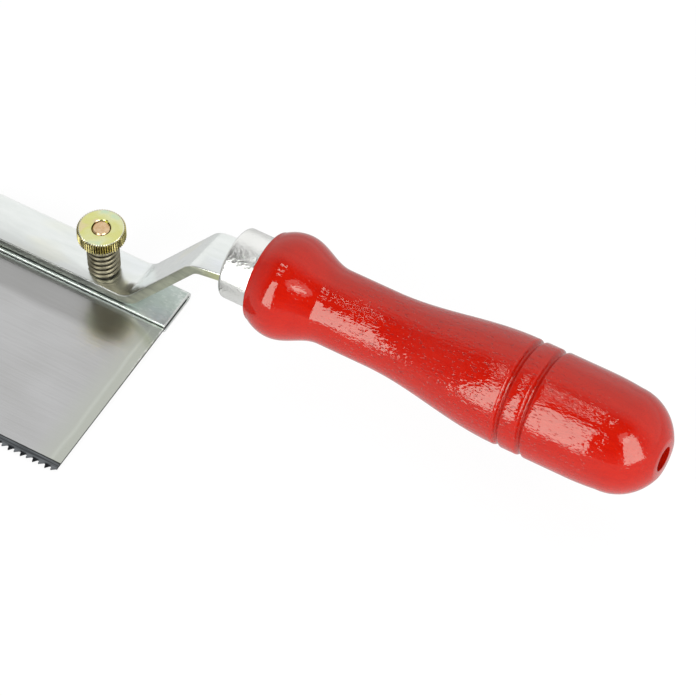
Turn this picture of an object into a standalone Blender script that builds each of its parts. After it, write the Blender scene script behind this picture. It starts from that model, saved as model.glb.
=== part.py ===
"""Flush cut saw with a cranked, swivelling handle.

The world origin is the middle of the back's flat underside, the face that lies
on the work. +X runs to the handle, +Y to the back's fold and +Z up from the
work. The teeth point to -Y. All sizes are in metres.
"""
from math import atan2, cos, degrees, floor, pi, radians, sin, sqrt, tan

import bmesh
import bpy
from mathutils import Vector

# Clearance between neighbouring pieces
GAP = 0.0003

# Blade: a plate with push-cut teeth, tips set left and right in turn
BLADE_LENGTH = 0.250
BLADE_REACH = 0.0553
BLADE_THICKNESS = 0.0006
TOOTH_PITCH = 0.00195
TOOTH_DEPTH = 0.0011
TOOTH_STEEP_SHARE = 0.2
TOOTH_SET = 0.00025

# Back: a strip folded round the blade's upper edge
BACK_WIDTH = 0.014
LEAF_THICKNESS = 0.0009
FOLD_WEB = 0.0020
BACK_EDGE_BEVEL = 0.0002

# Stud: its head lies flush in the middle of the back's underside
STUD_FROM_HEEL = 0.0235
STUD_OFFSET = 0.0
STUD_RADIUS = 0.0024
STUD_HEAD_RADIUS = 0.0036
STUD_HEAD_LAND = 0.0002
STUD_TIP_BEVEL = 0.0003
STUD_FACETS = 36

# Tang bar: flat along the back, cranked up, then a spike in the handle
BAR_WIDTH = 0.0138
BAR_THICKNESS = 0.0030
BAR_OFFSET = 0.0007
BAR_AHEAD_OF_STUD = 0.0455
BAR_CORNER_RADIUS = 0.004
BAR_EDGE_BEVEL = 0.0003
FLAT_PAST_STUD = 0.0083
CRANK_RUN = 0.0223
CRANK_RISE = 0.0291
CRANK_INNER_RADIUS = 0.0053
CRANK_OUTER_RADIUS = 0.007
BEND_SKEW = 0.065
TANG_RISE = 0.0016
TANG_MOUTH_CLEARANCE = 0.0017
TANG_SHOULDER = 0.0008
SPIKE_LENGTH = 0.060
SPIKE_POINT = 0.006
SPIKE_POINT_WIDTH = 0.0030
ARC_STEPS = 7

# Spring: open wound round the stud, between the bar and the knob
SPRING_LENGTH = 0.0130
SPRING_ROUND_STUD = 0.0010
SPRING_WIRE_RADIUS = 0.0006
SPRING_TURNS = 6.3
SPRING_START = radians(225)
SPRING_POINTS_PER_TURN = 10

# Knob: a straight-knurled thumb nut
KNOB_RADIUS = 0.0068
KNOB_HEIGHT = 0.0039
KNOB_BEVEL = 0.0003
KNOB_RIBS = 60
KNURL_DEPTH = 0.0002
KNOB_MOUTH_FLARE = 0.00035

# Ferrule: a collar with a rolled front lip
FERRULE_RADIUS = 0.0101
FERRULE_WALL = 0.0008
FERRULE_SHOWING = 0.0091
FERRULE_LIP_RADIUS = 0.0010
FERRULE_LIP_DEPTH = 0.0009
FERRULE_FACETS = 48

# Handle: turned wood, its lengths in turn from the shoulder at the ferrule
SHOULDER_PAST_CRANK = 0.01855
HANDLE_BORE_RADIUS = 0.0035
SHOULDER_RADIUS = 0.0123
SHOULDER_ROUND = 0.0008
BULB_RISE_LENGTH = 0.0071
BULB_RADIUS = 0.0148
BULB_FALL_LENGTH = 0.0138
WAIST_RADIUS = 0.0107
WAIST_LENGTH = 0.0142
SWELL_LENGTH = 0.0410
BARREL_RADIUS = 0.0150
BARREL_LENGTH = 0.0210
TAPER_LENGTH = 0.0090
DOME_RADIUS = 0.0145
DOME_LENGTH = 0.0130
BUTT_FLAT_RADIUS = 0.0060
FIRST_GROOVE = 0.0013
GROOVE_SPACING = 0.0066
GROOVE_HALF_WIDTH = 0.0013
GROOVE_DEPTH = 0.0011
FERRULE_RECESS = 0.0029
SPIGOT_FRONT_BEVEL = 0.0005
HANDLE_FACETS = 44

# Places that follow from the sizes
HEEL_X = BLADE_LENGTH / 2
TOE_X = -BLADE_LENGTH / 2
SLOT_THICKNESS = BLADE_THICKNESS + 2 * GAP
BACK_THICKNESS = 2 * LEAF_THICKNESS + SLOT_THICKNESS
BACK_NEAR_Y = -BACK_WIDTH / 2
BACK_FAR_Y = BACK_WIDTH / 2
BLADE_UNDER_Z = LEAF_THICKNESS + GAP
BLADE_TOP_Z = BLADE_UNDER_Z + BLADE_THICKNESS
SLOT_FAR_Y = BACK_FAR_Y - FOLD_WEB
BLADE_FAR_Y = SLOT_FAR_Y - GAP
GULLET_Y = BACK_NEAR_Y - BLADE_REACH + TOOTH_DEPTH
TIP_Y = BACK_NEAR_Y - BLADE_REACH
STUD_X = HEEL_X - STUD_FROM_HEEL
BAR_UNDER_Z = BACK_THICKNESS + GAP
BAR_TOP_Z = BAR_UNDER_Z + BAR_THICKNESS
SPRING_FOOT_Z = BAR_TOP_Z + GAP
KNOB_UNDER_Z = SPRING_FOOT_Z + SPRING_LENGTH + GAP
KNOB_TOP_Z = KNOB_UNDER_Z + KNOB_HEIGHT
SPRING_COIL_RADIUS = STUD_RADIUS + SPRING_ROUND_STUD + SPRING_WIRE_RADIUS
BAR_MIDDLE_Z = BAR_UNDER_Z + BAR_THICKNESS / 2
CRANK_ANGLE = atan2(CRANK_RISE, CRANK_RUN)
LOW_BEND_RADIUS = CRANK_INNER_RADIUS + BAR_THICKNESS / 2
HIGH_BEND_RADIUS = CRANK_OUTER_RADIUS - BAR_THICKNESS / 2
CRANK_LOW_X = STUD_X + FLAT_PAST_STUD + LOW_BEND_RADIUS * tan(CRANK_ANGLE / 2)
CRANK_HIGH_X = CRANK_LOW_X + CRANK_RUN
CRANK_HIGH_Z = BAR_MIDDLE_Z + CRANK_RISE
HANDLE_Z = CRANK_HIGH_Z + TANG_RISE
SHOULDER_X = CRANK_HIGH_X + SHOULDER_PAST_CRANK
SPIGOT_LENGTH = FERRULE_SHOWING + GAP - FERRULE_RECESS
SPIGOT_FRONT_X = SHOULDER_X - SPIGOT_LENGTH
SPIGOT_RADIUS = FERRULE_RADIUS - FERRULE_WALL - GAP
FERRULE_MOUTH_RADIUS = FERRULE_RADIUS - FERRULE_WALL - FERRULE_LIP_DEPTH
TANG_HALF_WIDTH = sqrt(FERRULE_MOUTH_RADIUS ** 2 - (BAR_THICKNESS / 2) ** 2) - TANG_MOUTH_CLEARANCE
SPIKE_HALF_WIDTH = sqrt(HANDLE_BORE_RADIUS ** 2 - (BAR_THICKNESS / 2) ** 2) - GAP
WAIST_START = BULB_RISE_LENGTH + BULB_FALL_LENGTH
WAIST_END = WAIST_START + WAIST_LENGTH
BARREL_START = WAIST_END + SWELL_LENGTH
BARREL_END = BARREL_START + BARREL_LENGTH
DOME_START = BARREL_END + TAPER_LENGTH
HANDLE_LENGTH = DOME_START + DOME_LENGTH
BULB_CURVE = BULB_RISE_LENGTH / sqrt(1 - (SHOULDER_RADIUS / BULB_RADIUS) ** 2)
DOME_CURVE = DOME_LENGTH / sqrt(1 - (BUTT_FLAT_RADIUS / DOME_RADIUS) ** 2)
GROOVE_PLACES = [BARREL_START + FIRST_GROOVE + GROOVE_SPACING * number for number in range(2)]
STUD_AXIS = Vector((STUD_X, STUD_OFFSET, 0.0))
HANDLE_AXIS = Vector((SHOULDER_X, BAR_OFFSET, HANDLE_Z))


def clear_scene():
    """Remove whatever the open file holds."""
    for item in list(bpy.data.objects):
        bpy.data.objects.remove(item, do_unlink=True)


def metal(name, color, roughness, metallic=1.0):
    """Return a plain Principled material."""
    material = bpy.data.materials.new(name)
    material.use_nodes = True
    shader = material.node_tree.nodes["Principled BSDF"]
    shader.inputs["Base Color"].default_value = (*color, 1.0)
    shader.inputs["Roughness"].default_value = roughness
    shader.inputs["Metallic"].default_value = metallic
    return material


def add_object(name, data, material, parent=None, place=None):
    """Link a mesh or curve as a named object, kept at its world place."""
    item = bpy.data.objects.new(name, data)
    item.data.materials.append(material)
    bpy.context.collection.objects.link(item)
    if place is not None:
        item.location = place
    if parent is not None:
        item.parent = parent
        item.location = item.location - parent.location
    return item


def add_pivot(name, place):
    """Add an empty that marks a joint's axis."""
    pivot = bpy.data.objects.new(name, None)
    pivot.empty_display_size = 0.01
    pivot.location = place
    bpy.context.collection.objects.link(pivot)
    return pivot


def finish_mesh(name, form, crease=40.0):
    """Turn a bmesh into a mesh with outward faces, smooth up to the crease."""
    bmesh.ops.recalc_face_normals(form, faces=form.faces)
    mesh = bpy.data.meshes.new(name)
    form.to_mesh(mesh)
    form.free()
    mesh.shade_smooth()
    mesh.set_sharp_from_angle(angle=radians(crease))
    return mesh


def turned_mesh(name, profile, facets, along="Z", ribs_on=(), rib_depth=0.0):
    """Turn a closed outline of (axial, radius) points round an axis.

    Rings whose numbers are in ribs_on alternate in radius, which cuts a knurl.
    """
    form = bmesh.new()
    rings = []
    for number, (axial, radius) in enumerate(profile):
        ring = []
        for step in range(facets):
            angle = 2 * pi * step / facets
            cut = rib_depth if number in ribs_on and step % 2 else 0.0
            across = (radius - cut) * cos(angle)
            aside = (radius - cut) * sin(angle)
            place = (across, aside, axial) if along == "Z" else (axial, across, aside)
            ring.append(form.verts.new(place))
        rings.append(ring)
    for ring, following in zip(rings, rings[1:] + rings[:1]):
        for step in range(facets):
            after = (step + 1) % facets
            form.faces.new((ring[step], ring[after], following[after], following[step]))
    return finish_mesh(name, form)


def capped_turned_mesh(name, profile, facets):
    """Turn an open outline about Z and close both ends with flat caps."""
    form = bmesh.new()
    rings = []
    for axial, radius in profile:
        ring = []
        for step in range(facets):
            angle = 2 * pi * step / facets
            ring.append(form.verts.new((radius * cos(angle), radius * sin(angle), axial)))
        rings.append(ring)
    for ring, following in zip(rings, rings[1:]):
        for step in range(facets):
            after = (step + 1) % facets
            form.faces.new((ring[step], ring[after], following[after], following[step]))
    form.faces.new(rings[0])
    form.faces.new(rings[-1])
    return finish_mesh(name, form)


def cut_away(item, cutter):
    """Subtract a hidden cutter from an object."""
    cutter.hide_render = True
    cutter.display_type = "WIRE"
    boolean = item.modifiers.new("Cut " + cutter.name, "BOOLEAN")
    boolean.operation = "DIFFERENCE"
    boolean.object = cutter


def stud_profile(clearance, top):
    """Return the stud's outline, foot to tip, grown by a clearance."""
    head = STUD_HEAD_RADIUS + clearance
    shank = STUD_RADIUS + clearance
    land_z = STUD_HEAD_LAND
    neck_z = land_z + head - shank
    foot_z = -clearance
    return [(foot_z, head), (land_z, head), (neck_z, shank), (top, shank)]


def build_stud(material):
    """The clamp stud: a countersunk head and a shank up to the knob's top."""
    profile = stud_profile(0.0, KNOB_TOP_Z - STUD_TIP_BEVEL)
    profile.append((KNOB_TOP_Z, STUD_RADIUS - STUD_TIP_BEVEL))
    mesh = capped_turned_mesh("stud", profile, STUD_FACETS)
    return add_object("stud", mesh, material, place=STUD_AXIS)


def stud_cutter(name, top):
    """The stud's own shape grown by the gap, for the holes that it passes."""
    mesh = capped_turned_mesh(name, stud_profile(GAP, top), STUD_FACETS)
    cutter = bpy.data.objects.new(name, mesh)
    cutter.location = STUD_AXIS
    bpy.context.collection.objects.link(cutter)
    return cutter


def build_blade(material, cutter):
    """The toothed plate: a long body and one three-cornered prism per tooth."""
    form = bmesh.new()
    count = floor(BLADE_LENGTH / TOOTH_PITCH + 1e-6)
    start_x = HEEL_X - count * TOOTH_PITCH
    sides = []
    for z in (BLADE_UNDER_Z, BLADE_TOP_Z):
        gullets = []
        if start_x - TOE_X > GAP:
            gullets.append(form.verts.new((TOE_X, GULLET_Y, z)))
        for number in range(count + 1):
            gullets.append(form.verts.new((start_x + number * TOOTH_PITCH, GULLET_Y, z)))
        rim = [form.verts.new((HEEL_X, BLADE_FAR_Y, z)), form.verts.new((TOE_X, BLADE_FAR_Y, z))]
        tips = []
        for number in range(count):
            tip_x = start_x + (number + TOOTH_STEEP_SHARE) * TOOTH_PITCH
            lean = TOOTH_SET if number % 2 else -TOOTH_SET
            tips.append(form.verts.new((tip_x, TIP_Y, z + lean)))
        form.faces.new(gullets + rim)
        toothed = gullets[-count - 1:]
        for tip, left, right in zip(tips, toothed, toothed[1:]):
            form.faces.new((left, tip, right))
        outline = gullets[:len(gullets) - count]
        for tip, right in zip(tips, toothed[1:]):
            outline += [tip, right]
        sides.append(outline + rim)
    lower, upper = sides
    for here, after in zip(range(len(lower)), list(range(1, len(lower))) + [0]):
        form.faces.new((lower[here], lower[after], upper[after], upper[here]))
    blade = add_object("blade", finish_mesh("blade", form, 10.0), material)
    cut_away(blade, cutter)
    return blade


def build_back(material, cutter):
    """The folded strip: a U outline drawn out along the blade's edge."""
    fold_radius = BACK_THICKNESS / 2
    fold_y = BACK_FAR_Y - fold_radius
    mouth_y = BACK_NEAR_Y
    upper_leaf_z = BACK_THICKNESS - LEAF_THICKNESS
    outline = [(mouth_y, 0.0)]
    for step in range(ARC_STEPS + 1):
        angle = -pi / 2 + pi * step / ARC_STEPS
        outline.append((fold_y + fold_radius * cos(angle), fold_radius * (1 + sin(angle))))
    outline += [(mouth_y, BACK_THICKNESS), (mouth_y, upper_leaf_z), (SLOT_FAR_Y, upper_leaf_z)]
    outline += [(SLOT_FAR_Y, LEAF_THICKNESS), (mouth_y, LEAF_THICKNESS)]
    form = bmesh.new()
    ends = []
    for x in (TOE_X, HEEL_X):
        ends.append([form.verts.new((x, y, z)) for y, z in outline])
    for here in range(len(outline)):
        after = (here + 1) % len(outline)
        form.faces.new((ends[0][here], ends[0][after], ends[1][after], ends[1][here]))
    form.faces.new(ends[0])
    form.faces.new(ends[1])
    rims = [edge for edge in form.edges if edge.calc_length() > BLADE_LENGTH / 2
            and abs(edge.verts[0].co.y - mouth_y) < GAP / 10
            and min(abs(edge.verts[0].co.z), abs(edge.verts[0].co.z - BACK_THICKNESS)) < GAP / 10]
    bmesh.ops.bevel(form, geom=rims, offset=BACK_EDGE_BEVEL, segments=2, profile=0.5, affect="EDGES")
    back = add_object("back", finish_mesh("back", form), material)
    cut_away(back, cutter)
    return back


def corner_arc(before, corner, after, radius, steps):
    """Round one corner of a path with an arc, as points from first to last."""
    inward = (before - corner).normalized()
    onward = (after - corner).normalized()
    half_turn = inward.angle(onward) / 2
    reach = radius * cos(half_turn) / sin(half_turn)
    bisector = (inward + onward).normalized()
    centre = corner + bisector * (radius / sin(half_turn))
    first = corner + inward * reach - centre
    last = corner + onward * reach - centre
    start = atan2(first.y, first.x)
    turn = atan2(last.y, last.x) - start
    turn = (turn + pi) % (2 * pi) - pi
    points = []
    for step in range(steps + 1):
        angle = start + turn * step / steps
        points.append(centre + radius * Vector((cos(angle), sin(angle))))
    return points


def bar_stations():
    """Return the bar's stations: centre-line x and z, normal, half width and skew.

    The bends run a little out of square, so their stations lean along X with the width.
    """
    front_x = STUD_X - BAR_AHEAD_OF_STUD
    low = Vector((CRANK_LOW_X, BAR_MIDDLE_Z))
    high = Vector((CRANK_HIGH_X, CRANK_HIGH_Z))
    spike_x = SPIGOT_FRONT_X - GAP
    end_x = spike_x + SPIKE_LENGTH
    path = []
    for step in range(ARC_STEPS + 1):
        angle = pi / 2 * step / ARC_STEPS
        inset = BAR_CORNER_RADIUS * (1 - cos(angle))
        ahead = BAR_CORNER_RADIUS * (1 - sin(angle))
        path.append((Vector((front_x + inset, BAR_MIDDLE_Z)), BAR_WIDTH / 2 - ahead, 0.0))
    front = Vector((front_x, BAR_MIDDLE_Z))
    mouth = Vector((spike_x - TANG_SHOULDER, HANDLE_Z))
    for point in corner_arc(front, low, high, LOW_BEND_RADIUS, ARC_STEPS):
        path.append((point, BAR_WIDTH / 2, BEND_SKEW))
    for point in corner_arc(low, high, mouth, HIGH_BEND_RADIUS, ARC_STEPS):
        path.append((point, BAR_WIDTH / 2, BEND_SKEW))
    path.append((mouth, TANG_HALF_WIDTH, 0.0))
    path.append((Vector((spike_x, mouth.y)), SPIKE_HALF_WIDTH, 0.0))
    path.append((Vector((end_x - SPIKE_POINT, mouth.y)), SPIKE_HALF_WIDTH, 0.0))
    path.append((Vector((end_x, mouth.y)), SPIKE_POINT_WIDTH / 2, 0.0))
    stations = []
    for number, (point, half_width, skew) in enumerate(path):
        before = path[max(number - 1, 0)][0]
        after = path[min(number + 1, len(path) - 1)][0]
        along = (after - before).normalized()
        stations.append((point, Vector((-along.y, along.x)), half_width, skew))
    return stations


def bar_section(half_width):
    """Return the bar's cross-section, sideways and up, with eased corners."""
    half_sheet = BAR_THICKNESS / 2
    wide = half_width
    wide_eased = half_width - BAR_EDGE_BEVEL
    tall_eased = half_sheet - BAR_EDGE_BEVEL
    right = [(wide_eased, -half_sheet), (wide, -tall_eased), (wide, tall_eased), (wide_eased, half_sheet)]
    left = [(-side, -lift) for side, lift in right]
    return right + left


def build_bar(material, cutter, pivot):
    """The cranked bar: its cross-section swept along its path."""
    form = bmesh.new()
    rings = []
    for point, normal, half_width, skew in bar_stations():
        ring = []
        for side, lift in bar_section(half_width):
            shift = normal * lift
            along_x = point.x + shift.x + skew * side
            ring.append(form.verts.new((along_x, BAR_OFFSET + side, point.y + shift.y)))
        rings.append(ring)
    for ring, following in zip(rings, rings[1:]):
        for corner in range(len(ring)):
            after = (corner + 1) % len(ring)
            form.faces.new((ring[corner], ring[after], following[after], following[corner]))
    form.faces.new(rings[0])
    form.faces.new(rings[-1])
    bmesh.ops.translate(form, vec=-pivot.location, verts=form.verts)
    bar = add_object("tang_bar", finish_mesh("tang_bar", form), material, pivot, pivot.location)
    cut_away(bar, cutter)
    return bar


def spring_points():
    """Return the wire's centre line: a helix with a short straight lead each end."""
    radius = SPRING_COIL_RADIUS
    climb = SPRING_LENGTH - 2 * SPRING_WIRE_RADIUS
    steps = round(SPRING_TURNS * SPRING_POINTS_PER_TURN)
    points = []
    for step in range(steps + 1):
        angle = SPRING_START + 2 * pi * SPRING_TURNS * step / steps
        z = SPRING_WIRE_RADIUS + climb * step / steps
        points.append(Vector((radius * cos(angle), radius * sin(angle), z)))
    lead = 2 * SPRING_WIRE_RADIUS
    end_angle = SPRING_START + 2 * pi * SPRING_TURNS
    before = points[0] - lead * Vector((-sin(SPRING_START), cos(SPRING_START), 0.0))
    beyond = points[-1] + lead * Vector((-sin(end_angle), cos(end_angle), 0.0))
    return [before] + points + [beyond]


def least_coil_gap(points):
    """Return the least clear distance between the wire and its other turns."""
    apart = SPRING_POINTS_PER_TURN // 2
    least = 1.0
    for number, point in enumerate(points):
        for other in points[number + apart:]:
            least = min(least, (point - other).length)
    return least - 2 * SPRING_WIRE_RADIUS


def build_spring(material):
    """The wound spring as one unbroken tube along its helix."""
    points = spring_points()
    print("least gap between the spring's coils, mm:", round(least_coil_gap(points) * 1000, 3))
    curve = bpy.data.curves.new("spring", "CURVE")
    curve.dimensions = "3D"
    curve.bevel_depth = SPRING_WIRE_RADIUS
    curve.bevel_resolution = 1
    curve.use_fill_caps = True
    wire = curve.splines.new("POLY")
    wire.points.add(len(points) - 1)
    for target, point in zip(wire.points, points):
        target.co = (point.x, point.y, point.z, 1.0)
    foot = Vector((STUD_X, STUD_OFFSET, SPRING_FOOT_Z))
    return add_object("spring", curve, material, place=foot)


def build_knob(material, pivot):
    """The thumb nut: ribbed rim, bevelled faces, flared mouth, clear bore."""
    bore = STUD_RADIUS + GAP
    mouth = bore + KNOB_MOUTH_FLARE
    low = 0.0
    high = KNOB_HEIGHT
    face_radius = KNOB_RADIUS - KNURL_DEPTH - KNOB_BEVEL
    profile = [(low, face_radius), (low + KNOB_BEVEL, KNOB_RADIUS), (high - KNOB_BEVEL, KNOB_RADIUS)]
    profile += [(high, face_radius), (high, mouth), (high - KNOB_MOUTH_FLARE, bore)]
    profile += [(low + KNOB_MOUTH_FLARE, bore), (low, mouth)]
    mesh = turned_mesh("knob", profile, 2 * KNOB_RIBS, ribs_on=(1, 2), rib_depth=KNURL_DEPTH)
    return add_object("knob", mesh, material, pivot, pivot.location)


def build_ferrule(material, pivot):
    """The collar: a straight tube whose front edge is rolled inwards."""
    outer = FERRULE_RADIUS
    inner = FERRULE_RADIUS - FERRULE_WALL
    rear = -GAP
    front = rear - FERRULE_SHOWING
    lip_steps = 4
    profile = [(rear, inner), (rear, outer)]
    for step in range(lip_steps + 1):
        angle = pi / 2 * step / lip_steps
        x = front + FERRULE_LIP_RADIUS * (1 - sin(angle))
        profile.append((x, outer - FERRULE_LIP_RADIUS * (1 - cos(angle))))
    profile.append((front, FERRULE_MOUTH_RADIUS))
    profile.append((front + FERRULE_LIP_DEPTH, FERRULE_MOUTH_RADIUS))
    profile.append((front + FERRULE_LIP_DEPTH, inner))
    mesh = turned_mesh("ferrule", profile, FERRULE_FACETS, along="X")
    return add_object("ferrule", mesh, material, pivot, HANDLE_AXIS)


def eased(place, start, start_radius, end, end_radius):
    """Blend two radii with level ends, as a turner runs a long sweep."""
    share = (place - start) / (end - start)
    return start_radius + (end_radius - start_radius) * (1 - cos(pi * share)) / 2


def groove_cut(place):
    """Return how deep the two turned grooves are at a place."""
    depth = 0.0
    for centre in GROOVE_PLACES:
        away = abs(place - centre) / GROOVE_HALF_WIDTH
        if away < 1.0:
            depth = GROOVE_DEPTH * (1 + cos(pi * away)) / 2
    return depth


def sweep_radius(place):
    """Return the handle's radius at a place behind its shoulder, grooves left out."""
    if place < BULB_RISE_LENGTH:
        return BULB_RADIUS * sqrt(1 - ((BULB_RISE_LENGTH - place) / BULB_CURVE) ** 2)
    if place < WAIST_START:
        return eased(place, BULB_RISE_LENGTH, BULB_RADIUS, WAIST_START, WAIST_RADIUS)
    if place < WAIST_END:
        return WAIST_RADIUS
    if place < BARREL_START:
        return eased(place, WAIST_END, WAIST_RADIUS, BARREL_START, BARREL_RADIUS)
    if place < BARREL_END:
        return BARREL_RADIUS
    if place < DOME_START:
        return BARREL_RADIUS + (DOME_RADIUS - BARREL_RADIUS) * ((place - BARREL_END) / TAPER_LENGTH) ** 2
    return DOME_RADIUS * sqrt(1 - ((place - DOME_START) / DOME_CURVE) ** 2)


def handle_radius(place):
    """Return the turned handle's radius at a place, grooves cut."""
    return sweep_radius(place) - groove_cut(place)


def spread(start, end, count):
    """Return evenly spaced places from start up to, but not at, end."""
    return [start + (end - start) * step / count for step in range(count)]


def handle_places():
    """Choose where the turned outline needs points."""
    first_cut = GROOVE_PLACES[0] - GROOVE_HALF_WIDTH
    last_cut = GROOVE_PLACES[-1] + GROOVE_HALF_WIDTH
    places = spread(SHOULDER_ROUND, BULB_RISE_LENGTH, 3)
    places += spread(BULB_RISE_LENGTH, WAIST_START, 6)
    places += [WAIST_START]
    places += spread(WAIST_END, first_cut, 7)
    for centre in GROOVE_PLACES:
        places += [centre + share * GROOVE_HALF_WIDTH for share in (-1.0, -0.6, 0.0, 0.6, 1.0)]
    places += spread(max(BARREL_END, last_cut), DOME_START, 2)
    dome_steps = 7
    places += [DOME_START + DOME_LENGTH * sin(pi / 2 * step / dome_steps) for step in range(dome_steps + 1)]
    return places


def build_handle(material, pivot):
    """The turned wood: spigot in the ferrule, outer sweep, bore right through."""
    face_radius = SHOULDER_RADIUS - SHOULDER_ROUND
    front = -SPIGOT_LENGTH
    profile = [(front, HANDLE_BORE_RADIUS), (front, SPIGOT_RADIUS - SPIGOT_FRONT_BEVEL)]
    profile += [(front + SPIGOT_FRONT_BEVEL, SPIGOT_RADIUS), (0.0, SPIGOT_RADIUS)]
    profile.append((0.0, face_radius))
    profile += [(place, handle_radius(place)) for place in handle_places()]
    profile.append((HANDLE_LENGTH, HANDLE_BORE_RADIUS))
    mesh = turned_mesh("handle", profile, HANDLE_FACETS, along="X")
    return add_object("handle", mesh, material, pivot, HANDLE_AXIS)


def build_saw():
    """Model the whole saw in its rest pose."""
    clear_scene()
    blade_steel = metal("blade_steel", (0.42, 0.42, 0.41), 0.28)
    back_zinc = metal("back_zinc", (0.46, 0.49, 0.47), 0.35)
    bar_zinc = metal("bar_zinc", (0.72, 0.76, 0.73), 0.22)
    stud_copper = metal("stud_copper", (0.66, 0.42, 0.24), 0.3)
    spring_steel = metal("spring_steel", (0.16, 0.14, 0.12), 0.4)
    knob_zinc = metal("knob_zinc", (0.62, 0.62, 0.28), 0.28)
    ferrule_nickel = metal("ferrule_nickel", (0.8, 0.79, 0.76), 0.16)
    red_lacquer = metal("red_lacquer", (0.5, 0.015, 0.004), 0.14, 0.0)

    swing_pivot = add_pivot("handle_swing_axis", STUD_AXIS)
    knob_pivot = add_pivot("knob_axis", Vector((STUD_X, STUD_OFFSET, KNOB_UNDER_Z)))
    back_cutter = stud_cutter("stud_hole_back", BAR_UNDER_Z)
    bar_cutter = stud_cutter("stud_hole_bar", SPRING_FOOT_Z)

    build_blade(blade_steel, back_cutter)
    build_back(back_zinc, back_cutter)
    build_stud(stud_copper)
    build_bar(bar_zinc, bar_cutter, swing_pivot)
    build_spring(spring_steel)
    build_knob(knob_zinc, knob_pivot)
    build_ferrule(ferrule_nickel, swing_pivot)
    build_handle(red_lacquer, swing_pivot)
    print("handle axis height, mm:", round(HANDLE_Z * 1000, 2))
    print("length over all, mm:", round((SHOULDER_X + HANDLE_LENGTH - TOE_X) * 1000, 2))
    print("crank angle, degrees:", round(degrees(CRANK_ANGLE), 1))


build_saw()
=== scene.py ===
# %% [markdown]
# # A flush cut saw, dressed piece by piece
# The saw has eight pieces: a thin blade pinched in a folded back, a flat bar that cranks up into a
# turned red handle with a plated collar, and a clamp of a copper coloured stud, a wound spring and a
# ribbed thumb nut. The frame gives every piece its place, in metres, with +X towards the handle and
# +Z up. Each piece is modelled afresh over its solid, so that bends, threads and ribs are real shape.

# %% Load the frame
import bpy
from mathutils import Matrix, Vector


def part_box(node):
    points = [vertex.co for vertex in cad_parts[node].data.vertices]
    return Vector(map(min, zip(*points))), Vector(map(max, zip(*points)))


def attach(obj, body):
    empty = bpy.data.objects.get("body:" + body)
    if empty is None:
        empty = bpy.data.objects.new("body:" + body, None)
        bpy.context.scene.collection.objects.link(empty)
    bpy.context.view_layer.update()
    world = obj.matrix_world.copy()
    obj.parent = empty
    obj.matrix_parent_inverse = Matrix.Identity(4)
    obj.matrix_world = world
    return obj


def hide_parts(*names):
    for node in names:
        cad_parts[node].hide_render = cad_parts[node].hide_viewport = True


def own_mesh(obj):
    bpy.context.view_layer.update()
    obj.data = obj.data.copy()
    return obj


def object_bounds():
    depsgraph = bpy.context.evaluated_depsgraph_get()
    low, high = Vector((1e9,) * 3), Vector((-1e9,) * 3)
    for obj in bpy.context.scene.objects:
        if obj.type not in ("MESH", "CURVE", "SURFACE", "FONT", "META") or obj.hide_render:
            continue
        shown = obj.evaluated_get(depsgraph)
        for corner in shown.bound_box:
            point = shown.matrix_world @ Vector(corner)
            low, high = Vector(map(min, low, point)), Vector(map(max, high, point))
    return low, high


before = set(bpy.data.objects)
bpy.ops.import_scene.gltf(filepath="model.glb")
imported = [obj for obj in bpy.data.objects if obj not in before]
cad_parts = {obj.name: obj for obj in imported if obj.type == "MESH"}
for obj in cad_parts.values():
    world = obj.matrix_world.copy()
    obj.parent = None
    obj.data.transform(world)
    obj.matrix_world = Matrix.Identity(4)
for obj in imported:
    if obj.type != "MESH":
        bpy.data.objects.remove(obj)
frame_low, frame_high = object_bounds()
print("frame from", [round(v, 4) for v in frame_low], "to", [round(v, 4) for v in frame_high])

# %% Blender's own modules
from math import atan2, cos, degrees, hypot, pi, radians, sin, sqrt, tan

import bmesh
import bpy
from mathutils import Matrix, Vector

# %% [markdown]
# ## Helpers for modelling
# An operator acts on everything that is selected, so each piece starts with nothing selected. A new
# shape gets its place applied, because a finished piece keeps its place in its mesh. In edit mode,
# corners, edges and faces are chosen by where they are, as one would click them. Lengths are in
# metres: places closer than NEAR are the same, and corners closer than DOUBLED become one. A face
# looks along an axis when its normal's share along that axis is over FACING.

# %% Start a piece and choose its parts
NEAR = 1e-5
DOUBLED = 1e-6
FACING = 0.9
FLAT_FACING = 0.99
LONG_EDGE = 0.02
CYLINDER_SIDES = 48


def start_piece(name, add_shape, **settings):
    """Add a primitive with nothing else selected, name it and settle its place in its mesh."""
    bpy.ops.object.select_all(action="DESELECT")
    add_shape(**settings)
    piece = bpy.context.active_object
    piece.name = name
    bpy.ops.object.transform_apply(location=True, rotation=True, scale=True)
    return piece


def start_box(name, place, size):
    """Start a piece as a box of a given size."""
    return start_piece(name, bpy.ops.mesh.primitive_cube_add, size=1.0, location=place, scale=size)


def start_cylinder(name, radius, depth, place, sides=CYLINDER_SIDES):
    """Start a piece as an upright cylinder."""
    return start_piece(name, bpy.ops.mesh.primitive_cylinder_add, vertices=sides, radius=radius,
                       depth=depth, location=place)


def pick(piece):
    """Select one piece alone and make it the active one."""
    bpy.ops.object.select_all(action="DESELECT")
    piece.select_set(True)
    bpy.context.view_layer.objects.active = piece


def edit():
    """Open the active piece for editing."""
    bpy.ops.object.mode_set(mode="EDIT")


def leave_edit():
    """Close the piece again."""
    bpy.ops.object.mode_set(mode="OBJECT")


def near(here, there):
    """Whether two places along an axis are the same."""
    return abs(here - there) < NEAR


def choose_all():
    """Select the whole piece."""
    bpy.ops.mesh.select_all(action="SELECT")


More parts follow.
